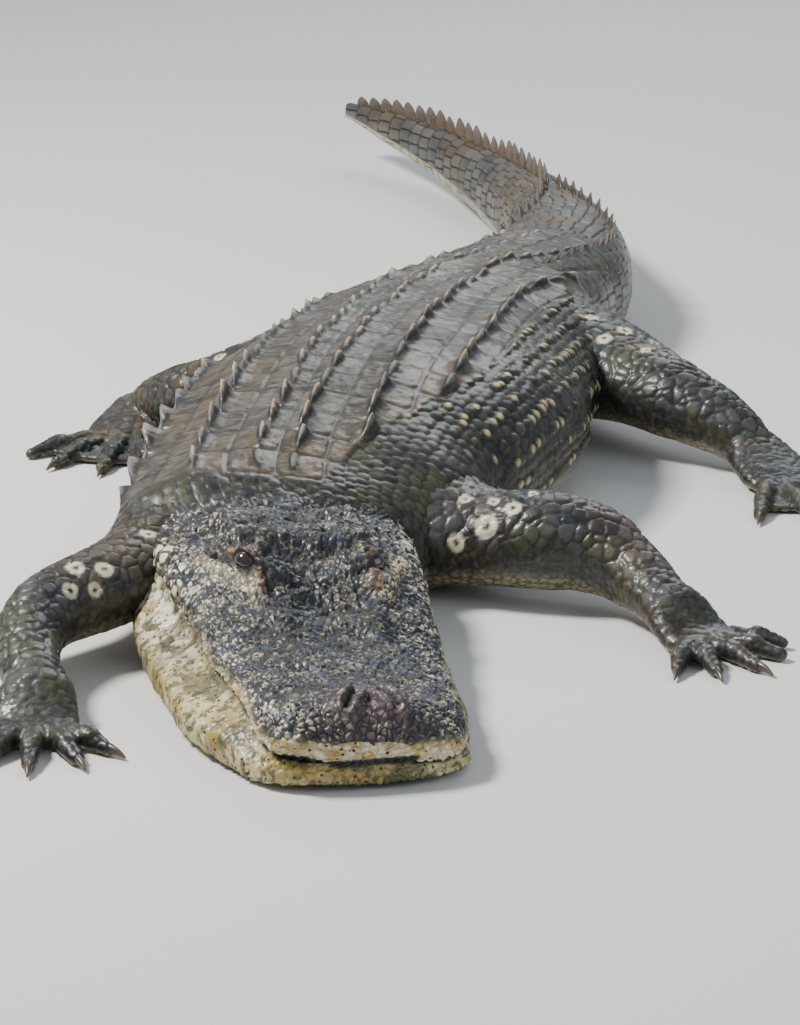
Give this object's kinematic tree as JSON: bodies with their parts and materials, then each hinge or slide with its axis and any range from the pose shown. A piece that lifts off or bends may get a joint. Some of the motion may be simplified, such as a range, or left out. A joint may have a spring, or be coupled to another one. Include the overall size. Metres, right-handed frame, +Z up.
{
  "type": "american alligator",
  "caption": "Life-size alligator at rest on its belly, head low, legs spread, keeled back and a tail that curves to one side.",
  "frame": {"origin": "middle of the bounding box, on the floor", "axes": "+Z up, the snout points along -Y and the tail runs back along +Y, +X to the right as seen from in front of the face"},
  "size_m": [0.8134, 2.455, 0.1735],
  "materials": {
    "head_hide": "wet satin",
    "jaw_hide": "wet satin",
    "back_hide": "satin",
    "limb_hide": "satin",
    "eye": "wet gloss"
  },
  "bodies": {
    "root": {"neck": "back_hide", "torso": "back_hide", "tail_base": "back_hide", "tail_middle": "back_hide", "tail_rear": "back_hide", "tail_tip": "back_hide", "eye_right": "eye", "eye_left": "eye", "head": "head_hide", "lower_jaw": "jaw_hide", "front_leg_right": "limb_hide", "front_leg_left": "limb_hide", "hind_leg_right": "limb_hide", "hind_leg_left": "limb_hide", "front_foot_right": "limb_hide", "front_foot_left": "limb_hide", "hind_foot_right": "limb_hide", "hind_foot_left": "limb_hide"}
  },
  "joints": []
}
